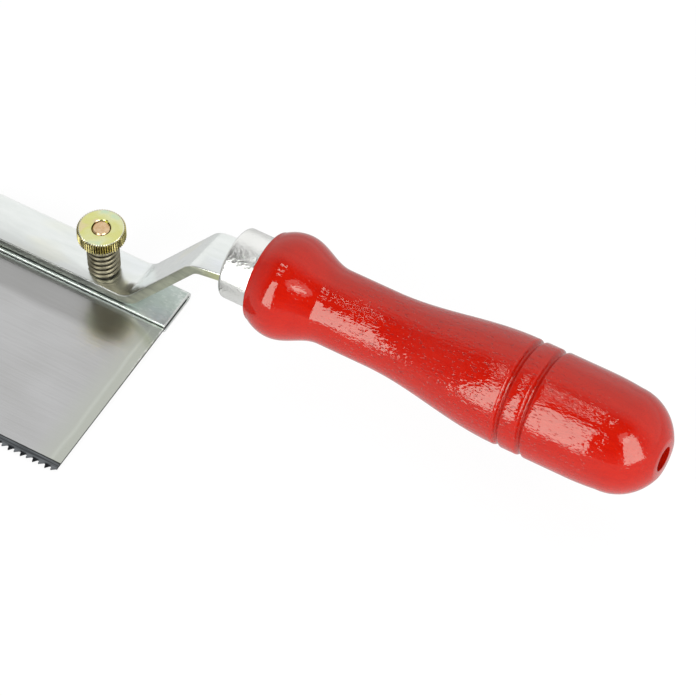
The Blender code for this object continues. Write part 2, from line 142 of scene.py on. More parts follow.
def choose(kind, wanted):
    """Select the corners (VERT), edges (EDGE) or faces (FACE) whose middle, and self, are wanted."""
    bpy.ops.mesh.select_mode(type=kind)
    bpy.ops.mesh.select_all(action="DESELECT")
    form = bmesh.from_edit_mesh(bpy.context.edit_object.data)
    parts = {"VERT": form.verts, "EDGE": form.edges, "FACE": form.faces}[kind]
    count = 0
    for part in parts:
        corners = [part] if kind == "VERT" else part.verts
        middle = sum((corner.co for corner in corners), Vector()) / len(corners)
        if wanted(middle, part):
            part.select_set(True)
            count += 1
    form.select_flush_mode()
    bmesh.update_edit_mesh(bpy.context.edit_object.data)
    return count


def cut_through(place, normal, **settings):
    """Cut the whole piece along a plane, and keep both sides unless the settings clear one."""
    choose_all()
    bpy.ops.mesh.bisect(plane_co=place, plane_no=normal, **settings)


def move(value):
    """Move what is selected."""
    bpy.ops.transform.translate(value=value)


def extend(value):
    """Extrude the selected faces along a direction."""
    bpy.ops.mesh.extrude_region_move(TRANSFORM_OT_translate={"value": value})


def break_edges(width, segments):
    """Bevel the selected edges."""
    bpy.ops.mesh.bevel(offset=width, segments=segments, affect="EDGES")


def resize(value, centre):
    """Scale what is selected about a point."""
    bpy.ops.transform.resize(value=value, center_override=centre)


# %% Finish a piece
def apply_modifier(piece, kind, **settings):
    """Add a modifier, set it and apply it."""
    pick(piece)
    modifier = piece.modifiers.new(kind.title(), kind)
    for name, value in settings.items():
        setattr(modifier, name, value)
    bpy.ops.object.modifier_apply(modifier=modifier.name)


def cut_hole(piece, radius, low, high, x, y):
    """Cut a round upright hole through a piece."""
    drill = start_cylinder("drill", radius, high - low, (x, y, (low + high) / 2))
    apply_modifier(piece, "BOOLEAN", operation="DIFFERENCE", object=drill, solver="EXACT")
    bpy.data.objects.remove(drill, do_unlink=True)


def tidy_mesh():
    """In edit mode: join doubled corners and turn every face outwards."""
    bpy.ops.mesh.select_mode(type="VERT")
    choose_all()
    bpy.ops.mesh.remove_doubles(threshold=DOUBLED)
    bpy.ops.mesh.normals_make_consistent(inside=False)


def finish_piece(piece, node, body, crease=35.0):
    """Shade a piece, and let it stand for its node."""
    pick(piece)
    bpy.ops.object.shade_smooth_by_angle(angle=radians(crease))
    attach(piece, body)
    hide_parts(node)
    form = bmesh.new()
    form.from_mesh(piece.data)
    loose = sum(1 for edge in form.edges if not edge.is_manifold)
    form.free()
    corners = [corner.co for corner in piece.data.vertices]
    size = [max(c[i] for c in corners) - min(c[i] for c in corners) for i in range(3)]
    print(piece.name, "mm:", [round(v * 1000, 2) for v in size], "faces:", len(piece.data.polygons),
          "open edges:", loose)


# %% [markdown]
# ## The camera
# The photograph looks down on the saw from the handle's near side through a long lens, so far ends
# shrink only a little. The direction, the distance and the lens were worked out from straight edges
# and circles whose real shape is known. The blade's toe half runs out of the picture.

# %% Camera
PICTURE_PIXELS = 696
SENSOR_WIDTH_MM = 36.0
LENS_PIXELS = 4053.566
VIEW_TURN = radians(30.833)
VIEW_RISE = radians(53.1)
VIEW_ROLL = radians(0.585)
VIEW_DISTANCE = 1.10985
AIM_RIGHT = -0.050373
AIM_UP = 0.005998
CLIP = (0.05, 50.0)
heel_corner = Vector((0.125, -0.007, 0.003))

view_right = Vector((cos(VIEW_TURN), sin(VIEW_TURN), 0.0))
view_back = Vector((sin(VIEW_TURN) * cos(VIEW_RISE), -cos(VIEW_TURN) * cos(VIEW_RISE), sin(VIEW_RISE)))
view_up = view_back.cross(view_right)
rolled_right = cos(VIEW_ROLL) * view_right - sin(VIEW_ROLL) * view_up
rolled_up = sin(VIEW_ROLL) * view_right + cos(VIEW_ROLL) * view_up

bpy.ops.object.camera_add()
camera = bpy.context.active_object
camera.name = "photo_camera"
camera.data.sensor_width = SENSOR_WIDTH_MM
camera.data.lens = LENS_PIXELS * SENSOR_WIDTH_MM / PICTURE_PIXELS
camera.data.clip_start, camera.data.clip_end = CLIP
turn = Matrix((rolled_right, rolled_up, view_back)).transposed()
place = heel_corner - AIM_RIGHT * rolled_right - AIM_UP * rolled_up + VIEW_DISTANCE * view_back
camera.matrix_world = Matrix.Translation(place) @ turn.to_4x4()
bpy.context.scene.camera = camera
print("camera at", [round(v, 3) for v in place], "lens mm:", round(camera.data.lens, 1))

# %% [markdown]
# ## The blade
# The blade is a strip of thin ground steel. Its teeth are cut in one pass by a wheel, which leaves
# round gullets, and each second tooth is then bent up and its neighbour down. So a stretch of two
# teeth is modelled, and an array repeats it along the blade.

# %% Sizes of the blade
blade_low, blade_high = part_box("blade")
back_low, back_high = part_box("back")
TOOTH_PITCH = 0.00195
TOOTH_DEPTH = 0.0011
TOOTH_SET = 0.00025
TEETH = 128
BLADE_THICKNESS = 0.0006
BEND_LINES = (0.0003, 0.00048)
HEEL_BEVEL = 0.00012
DRILL_SPARE = 0.001
# Shares of the pitch, and of the tooth's depth, from one gullet's floor to the next
TOOTH_OUTLINE = ((0.0, 0.0), (0.10, 0.05), (0.17, 0.27), (0.28, 1.0), (0.80, 0.11), (0.90, 0.025))

blade_top = blade_high.z - TOOTH_SET
blade_under = blade_top - BLADE_THICKNESS
blade_middle_z = (blade_top + blade_under) / 2
gullet_y = blade_low.y + TOOTH_DEPTH
first_gullet_x = blade_high.x - TEETH * TOOTH_PITCH

# %% Two teeth
pair_width = 2 * TOOTH_PITCH
pair_depth = blade_high.y - gullet_y
pair_place = (first_gullet_x + pair_width / 2, (blade_high.y + gullet_y) / 2, blade_middle_z)
blade = start_box("blade_plate", pair_place, (pair_width, pair_depth, BLADE_THICKNESS))
edit()
choose("FACE", lambda middle, face: abs(face.normal.x) > FACING)
bpy.ops.mesh.delete(type="FACE")
rows = []
for tooth in range(2):
    for along, deep in TOOTH_OUTLINE:
        rows.append((first_gullet_x + (tooth + along) * TOOTH_PITCH, deep, 1 if tooth else -1))
for above in BEND_LINES:
    cut_through((0.0, gullet_y + above, 0.0), (0.0, 1.0, 0.0))
for row_x, deep, side in rows[1:]:
    cut_through((row_x, 0.0, 0.0), (1.0, 0.0, 0.0))
for row_x, deep, side in rows:
    choose("VERT", lambda middle, corner: near(middle.x, row_x) and near(middle.y, gullet_y))
    move((0.0, -deep * TOOTH_DEPTH, side * deep * TOOTH_SET))
leave_edit()
print("corners in one pair of teeth:", len(blade.data.vertices))

# %% The whole blade
apply_modifier(blade, "ARRAY", count=TEETH // 2, use_relative_offset=False,
               use_constant_offset=True, constant_offset_displace=(pair_width, 0.0, 0.0),
               use_merge_vertices=True, merge_threshold=DOUBLED)
edit()
choose("VERT", lambda middle, corner: near(middle.x, first_gullet_x))
move((blade_low.x - first_gullet_x, 0.0, 0.0))
choose_all()
bpy.ops.mesh.fill_holes(sides=0)
tidy_mesh()
choose("EDGE", lambda middle, edge: near(middle.x, blade_high.x) and edge.calc_length() > LONG_EDGE)
break_edges(HEEL_BEVEL, 2)
leave_edit()
print("blade's teeth:", TEETH, "pitch mm:", TOOTH_PITCH * 1000)

# %% The stud's hole in the blade
stud_low, stud_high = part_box("stud")
stud_x = (stud_low.x + stud_high.x) / 2
stud_y = (stud_low.y + stud_high.y) / 2
HOLE_RADIUS = 0.0027
cut_hole(blade, HOLE_RADIUS, blade_under - DRILL_SPARE, blade_top + DRILL_SPARE, stud_x, stud_y)
finish_piece(blade, "blade", "blade_assembly", crease=8.0)

# %% [markdown]
# ## The folded back
# The back is one strip of sheet folded over the blade's edge, as a tinner folds a hem. It is modelled
# in the same order: the lower leaf, then half a turn of spin for the fold, then the upper leaf drawn
# back over the first. The mouth's edges are broken with a small bevel, which catches the light.

# %% Fold the back
LEAF = 0.0009
BACK_EDGE = 0.0002
END_EDGE = 0.00015
FOLD_STEPS = 12
fold_radius = (back_high.z - back_low.z) / 2
fold_y = back_high.y - fold_radius
fold_z = (back_high.z + back_low.z) / 2
back_middle_x = (back_low.x + back_high.x) / 2
leaf_width = fold_y - back_low.y

back = start_box("back_strip", (back_middle_x, back_low.y + leaf_width / 2, back_low.z + LEAF / 2),
                 (back_high.x - back_low.x, leaf_width, LEAF))
edit()
choose("FACE", lambda middle, face: face.normal.y > FACING)
bpy.ops.mesh.spin(steps=FOLD_STEPS, angle=pi, center=(0.0, fold_y, fold_z), axis=(-1.0, 0.0, 0.0))
choose("FACE", lambda middle, face: near(middle.y, fold_y) and middle.z > fold_z
       and face.normal.y < -FACING)
extend((0.0, -leaf_width, 0.0))
print("fold's radius mm:", round(fold_radius * 1000, 2), "leaf's width mm:", round(leaf_width * 1000, 2))

# %% Break the back's edges and drill it
choose("EDGE", lambda middle, edge: near(middle.y, back_low.y) and edge.calc_length() > LONG_EDGE)
break_edges(BACK_EDGE, 3)
tidy_mesh()
choose("EDGE", lambda middle, edge: sum(abs(face.normal.x) > FACING for face in edge.link_faces) == 1)
break_edges(END_EDGE, 2)
leave_edit()
cut_hole(back, HOLE_RADIUS, back_low.z - DRILL_SPARE, back_high.z + DRILL_SPARE, stud_x, stud_y)
finish_piece(back, "back", "blade_assembly")

# %% [markdown]
# ## The cranked bar
# The bar starts as flat stock. A smith lays it on the back, bends it up over a rounded block, and
# bends it nearly level again, so each bend is a spin of its end face and each straight an extrusion.
# The end is drawn narrower where it enters the collar, squared by scaling its length to nothing, and
# becomes a spike inside the wood. The bends ran a little out of square, so their sides are moved.

# %% Sizes of the bar
bar_low, bar_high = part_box("tang_bar")
ferrule_low, ferrule_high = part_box("ferrule")
handle_low, handle_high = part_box("handle")
BAR_THICKNESS = 0.0030
BAR_CORNER = 0.004
BAR_EDGE = 0.0003
FLAT_PAST_STUD = 0.0083
CRANK_RUN = 0.0223
CRANK_RISE = 0.0291
TANG_RISE = 0.0016
LOW_BEND_INSIDE = 0.0053
HIGH_BEND_OUTSIDE = 0.007
BEND_SKEW = 0.065
BEND_STEPS = 14
PAST_BEND = 0.002
MOUTH_HALF_WIDTH = 0.00656
SPIKE_HALF_WIDTH = 0.00286
POINT_HALF_WIDTH = 0.0015
SPIKE_LENGTH = 0.060
POINT_LENGTH = 0.006
SHOULDER_LENGTH = 0.0008

bar_half_width = (bar_high.y - bar_low.y) / 2
bar_y = (bar_high.y + bar_low.y) / 2
flat_end_x = stud_x + FLAT_PAST_STUD
crank_angle = atan2(CRANK_RISE, CRANK_RUN)
low_bend_middle = LOW_BEND_INSIDE + BAR_THICKNESS / 2
high_bend_middle = HIGH_BEND_OUTSIDE - BAR_THICKNESS / 2
handle_y = (handle_low.y + handle_high.y) / 2
handle_z = (handle_low.z + handle_high.z) / 2
spike_x = bar_high.x - SPIKE_LENGTH
mouth_x = spike_x - SHOULDER_LENGTH
low_reach = low_bend_middle * tan(crank_angle / 2)
low_corner_x = flat_end_x + low_reach
tang_run = mouth_x - low_corner_x - CRANK_RUN
tang_angle = atan2(TANG_RISE, tang_run)
high_turn = crank_angle - tang_angle
high_reach = high_bend_middle * tan(high_turn / 2)
crank_straight = hypot(CRANK_RUN, CRANK_RISE) - low_reach - high_reach
print("crank and tang rise, degrees:", round(degrees(crank_angle), 1), round(degrees(tang_angle), 1))

# %% Flat and crank
def heading(angle):
    """The direction at an angle above the one to the handle."""
    return Vector((cos(angle), 0.0, sin(angle)))


flat_length = flat_end_x - bar_low.x
flat_middle = Vector((bar_low.x + flat_length / 2, bar_y, bar_low.z + BAR_THICKNESS / 2))
bar = start_box("cranked_bar", flat_middle, (flat_length, 2 * bar_half_width, BAR_THICKNESS))
edit()
choose("EDGE", lambda middle, edge: near(middle.x, bar_low.x) and near(middle.z, flat_middle.z))
break_edges(BAR_CORNER, 8)
choose("FACE", lambda middle, face: face.normal.x > FACING)
low_centre = Vector((flat_end_x, bar_y, bar_low.z + BAR_THICKNESS + LOW_BEND_INSIDE))
bpy.ops.mesh.spin(steps=BEND_STEPS, angle=crank_angle, center=low_centre, axis=(0.0, 1.0, 0.0))
crank = heading(crank_angle) * crank_straight
extend(crank)
high_centre = low_centre + heading(crank_angle - pi / 2) * (low_bend_middle + high_bend_middle) + crank
bpy.ops.mesh.spin(steps=BEND_STEPS, angle=high_turn, center=high_centre, axis=(0.0, -1.0, 0.0))

# %% Tang and spike
tang_x = low_corner_x + CRANK_RUN + high_reach * cos(tang_angle)
centre = Vector((mouth_x, bar_y, 0.0))
extend(heading(tang_angle) * (hypot(tang_run, TANG_RISE) - high_reach))
resize((0.0, MOUTH_HALF_WIDTH / bar_half_width, 1.0), centre)
extend((SHOULDER_LENGTH, 0.0, 0.0))
resize((1.0, SPIKE_HALF_WIDTH / MOUTH_HALF_WIDTH, 1.0), centre)
extend((SPIKE_LENGTH - POINT_LENGTH, 0.0, 0.0))
extend((POINT_LENGTH, 0.0, 0.0))
resize((1.0, POINT_HALF_WIDTH / SPIKE_HALF_WIDTH, 1.0), centre)

# %% Skew the bends, break the edges and drill the bar
for side in (1, -1):
    choose("VERT", lambda middle, corner: flat_end_x - NEAR < middle.x < tang_x + PAST_BEND
           and (middle.y - bar_y) * side > 0.0)
    move((side * BEND_SKEW * bar_half_width, 0.0, 0.0))
tidy_mesh()
leave_edit()
apply_modifier(bar, "BEVEL", width=BAR_EDGE, segments=3, limit_method="ANGLE", angle_limit=radians(30))
bar_top_z = bar_low.z + BAR_THICKNESS
cut_hole(bar, HOLE_RADIUS, bar_low.z - DRILL_SPARE, bar_top_z + DRILL_SPARE, stud_x, stud_y)
finish_piece(bar, "tang_bar", "handle_assembly")

# %% [markdown]
# ## Turned outlines
# The collar and the handle come off a lathe. Half of the outline is drawn as a chain of corners, by
# extruding one corner from place to place, and one full spin turns it round the axis. The last ring
# falls on the first, so doubled corners are merged and the faces turned outwards.

# %% Draw an outline and spin it
SEED_SIZE = 0.001


def draw_chain(name, points):
    """Start a piece as one corner, extrude it from point to point, and stay in edit mode."""
    piece = start_piece(name, bpy.ops.mesh.primitive_plane_add, size=SEED_SIZE, location=points[0])
    edit()
    bpy.ops.mesh.select_mode(type="VERT")
    choose_all()
    bpy.ops.mesh.merge(type="CENTER")
    for here, after in zip(points, points[1:]):
        bpy.ops.mesh.extrude_vertices_move(TRANSFORM_OT_translate={"value": after - here})
    choose_all()
    return piece


def turn_piece(name, outline, steps, origin):
    """Spin a closed outline of (place along X, radius) points round the X axis through the origin."""
    points = [origin + Vector((place, radius, 0.0)) for place, radius in outline]
    piece = draw_chain(name, points + points[:1])
    bpy.ops.mesh.remove_doubles(threshold=DOUBLED)
    bpy.ops.mesh.spin(steps=steps, angle=2 * pi, center=origin, axis=(1.0, 0.0, 0.0))
    tidy_mesh()
    leave_edit()
    return piece


def arc(centre_place, centre_radius, radius, start, end, steps):
    """Points of a round stretch of an outline, from one angle to another, in degrees."""
    points = []
    for step in range(steps + 1):
        angle = radians(start + (end - start) * step / steps)
        points.append((centre_place + radius * cos(angle), centre_radius + radius * sin(angle)))
    return points


# %% [markdown]
# ## The collar
# The collar stops the wood from splitting round the tang. It is a plated tube whose front edge is
# rolled inwards, and its rear edge is hidden against the wood's shoulder.

# %% Turn the collar
LIP_ROUND = 0.0010
LIP_DEPTH = 0.0009
FERRULE_WALL = 0.0008
REAR_BEVEL = 0.0002
FERRULE_STEPS = 96
ferrule_radius = (ferrule_high.y - ferrule_low.y) / 2
ferrule_length = ferrule_high.x - ferrule_low.x
mouth_radius = ferrule_radius - FERRULE_WALL - LIP_DEPTH
ferrule_origin = Vector((ferrule_low.x, handle_y, handle_z))
outline = arc(LIP_ROUND, ferrule_radius - LIP_ROUND, LIP_ROUND, 180.0, 90.0, 8)
outline += [(ferrule_length - REAR_BEVEL, ferrule_radius), (ferrule_length, ferrule_radius - REAR_BEVEL)]
outline += [(ferrule_length, ferrule_radius - FERRULE_WALL), (LIP_DEPTH, ferrule_radius - FERRULE_WALL)]
outline += [(LIP_DEPTH, mouth_radius), (0.0, mouth_radius)]
ferrule = turn_piece("plated_collar", outline, FERRULE_STEPS, ferrule_origin)
finish_piece(ferrule, "ferrule", "handle_assembly")

# %% [markdown]
# ## The red handle
# The handle is turned from one billet: a bulb behind the collar, a waist for finger and thumb, a
# long swell, two grooves and a domed butt with the lathe's centre hole. Its outline follows smooth
# rules, as a turner's sweep does, so the same rules place as many points as a smooth outline needs.

# %% Sizes of the handle
BULB_RISE = 0.0071
BULB_RADIUS = 0.0148
BULB_FALL = 0.0138
WAIST_RADIUS = 0.0107
WAIST_LENGTH = 0.0142
SWELL_LENGTH = 0.0410
BARREL_RADIUS = 0.0150
BARREL_LENGTH = 0.0210
TAPER_LENGTH = 0.0090
DOME_RADIUS = 0.0145
DOME_LENGTH = 0.0130
BUTT_RADIUS = 0.0060
BORE_RADIUS = 0.0035
SHOULDER_RADIUS = 0.0123
SHOULDER_ROUND = 0.0008
SPIGOT_RADIUS = 0.0090
SPIGOT_BEVEL = 0.0005
FIRST_GROOVE = 0.0013
GROOVE_SPACING = 0.0066
GROOVE_HALF_WIDTH = 0.0013
GROOVE_DEPTH = 0.0011

# %% Where each stretch of the handle starts, behind its shoulder
waist_start = BULB_RISE + BULB_FALL
waist_end = waist_start + WAIST_LENGTH
barrel_start = waist_end + SWELL_LENGTH
barrel_end = barrel_start + BARREL_LENGTH
dome_start = barrel_end + TAPER_LENGTH
handle_length = dome_start + DOME_LENGTH
shoulder_x = handle_high.x - handle_length
bulb_curve = BULB_RISE / sqrt(1 - (SHOULDER_RADIUS / BULB_RADIUS) ** 2)
dome_curve = DOME_LENGTH / sqrt(1 - (BUTT_RADIUS / DOME_RADIUS) ** 2)
grooves = [barrel_start + FIRST_GROOVE + GROOVE_SPACING * number for number in range(2)]
print("handle length mm:", round(handle_length * 1000, 1))


# %% The sweep of the handle
def ease(place, start, start_radius, end, end_radius):
    """Run from one radius to another with level ends."""
    share = (place - start) / (end - start)
    return start_radius + (end_radius - start_radius) * (1 - cos(pi * share)) / 2


def sweep(place):
    """The handle's radius at a place behind its shoulder, without the grooves."""
    if place < BULB_RISE:
        return BULB_RADIUS * sqrt(1 - ((BULB_RISE - place) / bulb_curve) ** 2)
    if place < waist_start:
        return ease(place, BULB_RISE, BULB_RADIUS, waist_start, WAIST_RADIUS)
    if place < waist_end:
        return WAIST_RADIUS
    if place < barrel_start:
        return ease(place, waist_end, WAIST_RADIUS, barrel_start, BARREL_RADIUS)
    if place < barrel_end:
        return BARREL_RADIUS
    if place < dome_start:
        return BARREL_RADIUS + (DOME_RADIUS - BARREL_RADIUS) * ((place - barrel_end) / TAPER_LENGTH) ** 2
    return DOME_RADIUS * sqrt(1 - ((place - dome_start) / dome_curve) ** 2)


def groove_cut(place):
    """How deep the grooves are at a place."""
    deepest = 0.0
    for groove in grooves:
        away = abs(place - groove) / GROOVE_HALF_WIDTH
        if away < 1.0:
            deepest = GROOVE_DEPTH * (1 + cos(pi * away)) / 2
    return deepest


# %% Turn the handle
OUTLINE_STEP = 0.0011
GROOVE_STEPS = 12
DOME_STEPS = 16
HANDLE_STEPS = 112
spigot_length = shoulder_x - handle_low.x
places = [SHOULDER_ROUND]
while places[-1] + OUTLINE_STEP < grooves[0] - GROOVE_HALF_WIDTH:
    places.append(places[-1] + OUTLINE_STEP)
for groove in grooves:
    for step in range(GROOVE_STEPS + 1):
        places.append(groove + GROOVE_HALF_WIDTH * (2 * step / GROOVE_STEPS - 1))
while places[-1] + OUTLINE_STEP < dome_start:
    places.append(places[-1] + OUTLINE_STEP)
places += [dome_start + DOME_LENGTH * sin(pi / 2 * step / DOME_STEPS) for step in range(DOME_STEPS + 1)]

outline = [(-spigot_length, BORE_RADIUS), (-spigot_length, SPIGOT_RADIUS - SPIGOT_BEVEL)]
outline += [(-spigot_length + SPIGOT_BEVEL, SPIGOT_RADIUS), (0.0, SPIGOT_RADIUS)]
round_radius = sweep(SHOULDER_ROUND) - SHOULDER_ROUND
outline += arc(SHOULDER_ROUND, round_radius, SHOULDER_ROUND, 180.0, 100.0, 5)
outline += [(place, sweep(place) - groove_cut(place)) for place in places]
outline.append((handle_length, BORE_RADIUS))
handle_origin = Vector((shoulder_x, handle_y, handle_z))
handle = turn_piece("turned_handle", outline, HANDLE_STEPS, handle_origin)
finish_piece(handle, "handle", "handle_assembly")
print("outline corners:", len(outline))

# %% [markdown]
# ## The stud
# The stud is a screw with a countersunk head, let in flush under the back. Its thread is one ridge
# that winds up the shank: the outline of a single pitch, repeated by the screw modifier, makes the
# whole thread in one skin. Two cuts square its ends, and the top gets a small turned dome.

# %% Wind the thread
THREAD_PITCH = 0.0008
THREAD_OUTSIDE = 0.0024
THREAD_ROOT = 0.0020
THREAD_CREST = 0.0001
THREAD_TURNS = 30
THREAD_SIDES = 32
HEAD_RADIUS = 0.0036
HEAD_LAND = 0.0002
TIP_BEVEL = 0.0003
TIP_FIT = 0.985
TIP_RIM_RISE = 0.8
TIP_RIM_SHARE = 0.88
TIP_DOME_INSET = 0.0009
stud_axis = Vector((stud_x, stud_y, 0.0))
neck_z = stud_low.z + HEAD_LAND + HEAD_RADIUS - THREAD_OUTSIDE
thread_start = neck_z - THREAD_PITCH
ridge = [(0.0, THREAD_ROOT), (THREAD_PITCH / 2 - THREAD_CREST, THREAD_OUTSIDE)]
ridge += [(THREAD_PITCH / 2 + THREAD_CREST, THREAD_OUTSIDE), (THREAD_PITCH, THREAD_ROOT)]
points = [stud_axis + Vector((radius, 0.0, thread_start + rise)) for rise, radius in ridge]
stud = draw_chain("threaded_stud", points)
move(-stud_axis)
leave_edit()
apply_modifier(stud, "SCREW", axis="Z", angle=2 * pi, screw_offset=THREAD_PITCH, iterations=THREAD_TURNS,
               steps=THREAD_SIDES, render_steps=THREAD_SIDES, use_merge_vertices=True,
               merge_threshold=DOUBLED, use_normal_calculate=True)
print("thread's corners:", len(stud.data.vertices))

# %% Square the thread's ends
tip_z = stud_high.z - TIP_BEVEL
edit()
choose_all()
move(stud_axis)
bpy.ops.mesh.remove_doubles(threshold=DOUBLED)
cut_through((0.0, 0.0, neck_z), (0.0, 0.0, 1.0), clear_inner=True, use_fill=True)
cut_through((0.0, 0.0, tip_z), (0.0, 0.0, 1.0), clear_outer=True, use_fill=True)
leave_edit()

# %% Add the head and the domed tip
head = start_cylinder("stud_head", HEAD_RADIUS, HEAD_LAND, (stud_x, stud_y, stud_low.z + HEAD_LAND / 2))
edit()
choose("FACE", lambda middle, face: face.normal.z > FACING)
extend((0.0, 0.0, neck_z - stud_low.z - HEAD_LAND))
resize((THREAD_OUTSIDE / HEAD_RADIUS, THREAD_OUTSIDE / HEAD_RADIUS, 1.0), stud_axis)
leave_edit()
tip = start_cylinder("stud_tip", THREAD_OUTSIDE * TIP_FIT, THREAD_PITCH,
                     (stud_x, stud_y, tip_z - THREAD_PITCH / 2))
edit()
choose("FACE", lambda middle, face: face.normal.z > FACING)
extend((0.0, 0.0, TIP_BEVEL * TIP_RIM_RISE))
resize((TIP_RIM_SHARE, TIP_RIM_SHARE, 1.0), stud_axis)
bpy.ops.mesh.inset(thickness=TIP_DOME_INSET, depth=TIP_BEVEL * (1 - TIP_RIM_RISE))
leave_edit()
pick(stud)
head.select_set(True)
tip.select_set(True)
bpy.ops.object.join()
edit()
choose_all()
bpy.ops.mesh.normals_make_consistent(inside=False)
leave_edit()
finish_piece(stud, "stud", "blade_assembly")

# %% [markdown]
# ## The spring
# The spring is wound from round wire on a mandrel. The wire's round section is a ring of corners that
# is extruded again and again, each time turned a few degrees about the stud and lifted a little. The
# lift is less at both ends, so the end coils lie flat, as on a real spring.

# %% Wind the spring
WIRE_RADIUS = 0.0006
COIL_RADIUS = 0.0040
SPRING_TURNS = 6.3
SPRING_START = radians(225)
STEPS_PER_TURN = 36
WIRE_SIDES = 14
FLAT_TURNS = 0.5
FLAT_LIFT_SHARE = 0.8
spring_low, spring_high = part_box("spring")


def turn_round_stud(angle):
    """Turn what is selected anticlockwise; with no window, this operator turns the other way."""
    bpy.ops.transform.rotate(value=-angle, orient_axis="Z", center_override=stud_axis)


lifts = []
for step in range(round(SPRING_TURNS * STEPS_PER_TURN)):
    turned = (step + 0.5) / STEPS_PER_TURN
    from_end = min(turned, SPRING_TURNS - turned)
    lifts.append(FLAT_LIFT_SHARE if from_end < FLAT_TURNS else 1.0)
climb = spring_high.z - spring_low.z - 2 * WIRE_RADIUS
lifts = [lift * climb / sum(lifts) for lift in lifts]
spring_place = (stud_x + COIL_RADIUS, stud_y, spring_low.z + WIRE_RADIUS)
spring = start_piece("wound_spring", bpy.ops.mesh.primitive_circle_add, vertices=WIRE_SIDES,
                     radius=WIRE_RADIUS, fill_type="NGON", location=spring_place,
                     rotation=(pi / 2, 0.0, 0.0))
edit()
choose_all()
for lift in lifts:
    extend((0.0, 0.0, lift))
    turn_round_stud(2 * pi / STEPS_PER_TURN)
choose_all()
turn_round_stud(SPRING_START)
tidy_mesh()
leave_edit()
finish_piece(spring, "spring", "spring_carrier", crease=60.0)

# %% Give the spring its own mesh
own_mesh(spring)

# %% [markdown]
# ## The thumb nut
# The nut's ribs are pressed by a straight knurling wheel, and its edges are chamfered on the lathe,
# which gives the scalloped rim, made bright by a painted glint in the nut's finish. The cylinder
# therefore gets its chamfers first, and the hollows between the ribs are then pushed in only on the wall.

# %% Sizes of the nut
knob_low, knob_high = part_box("knob")
RIBS = 60
SIDES_PER_RIB = 4
RIB_DEPTH = 0.0004
KNOB_CHAMFER = 0.0003
BORE_CHAMFER = 0.00015
KNOB_BORE = 0.0027
NOTCH_RADIUS = 0.0004
NOTCH_DEPTH = 0.0009
# Where the corners of a hollow are, as a share of the way from rib to rib, and how deep they go
HOLLOW = ((0.5, RIB_DEPTH), (0.25, RIB_DEPTH * 0.55), (0.75, RIB_DEPTH * 0.55))
HOLLOW_REACH = 0.05
knob_radius = (knob_high.x - knob_low.x) / 2
knob_height = knob_high.z - knob_low.z
knob_middle = Vector((stud_x, stud_y, (knob_low.z + knob_high.z) / 2))
face_radius = knob_radius - RIB_DEPTH - KNOB_CHAMFER

# %% Chamfers and bore
knob = start_cylinder("thumb_nut", knob_radius, knob_height - 2 * KNOB_CHAMFER, knob_middle,
                      RIBS * SIDES_PER_RIB)
edit()
for way in (1.0, -1.0):
    choose("FACE", lambda middle, face: face.normal.z * way > FACING)
    extend((0.0, 0.0, way * KNOB_CHAMFER))
    resize((face_radius / knob_radius, face_radius / knob_radius, 1.0), knob_middle)
choose("FACE", lambda middle, face: abs(face.normal.z) > FLAT_FACING)
bpy.ops.mesh.inset(thickness=face_radius - KNOB_BORE - BORE_CHAMFER)
bpy.ops.mesh.inset(thickness=BORE_CHAMFER, depth=-BORE_CHAMFER)
bpy.ops.mesh.bridge_edge_loops()


# %% Press the hollows between the ribs
def on_rib_line(middle, share):
    """Whether a corner is on the wall, at a share of the way from rib to rib."""
    across, away = middle.x - stud_x, middle.y - stud_y
    turned = (atan2(away, across) % (2 * pi) / (2 * pi) * RIBS) % 1.0
    return abs(turned - share) < HOLLOW_REACH and hypot(across, away) > knob_radius - NEAR


for share, depth in HOLLOW:
    print("hollow corners:", choose("VERT", lambda middle, corner: on_rib_line(middle, share)))
    kept = (knob_radius - depth) / knob_radius
    resize((kept, kept, 1.0), knob_middle)
tidy_mesh()
leave_edit()
notch_z = knob_high.z - NOTCH_DEPTH
cut_hole(knob, NOTCH_RADIUS, notch_z, knob_high.z + DRILL_SPARE, stud_x, stud_y + KNOB_BORE)
finish_piece(knob, "knob", "knob_nut", crease=30.0)

# %% [markdown]
# ## Shader arithmetic
# A finish is a little sum over the surface: this much grain, that much wear. Wrapping a node's socket
# in a small class lets the sum be written as a sum, and each plus or times adds its Math node. Noise
# reads mostly from 0.3 to 0.7, so part(0.3, 0.7) spreads it from 0 to 1, and a closer pair hardens it.

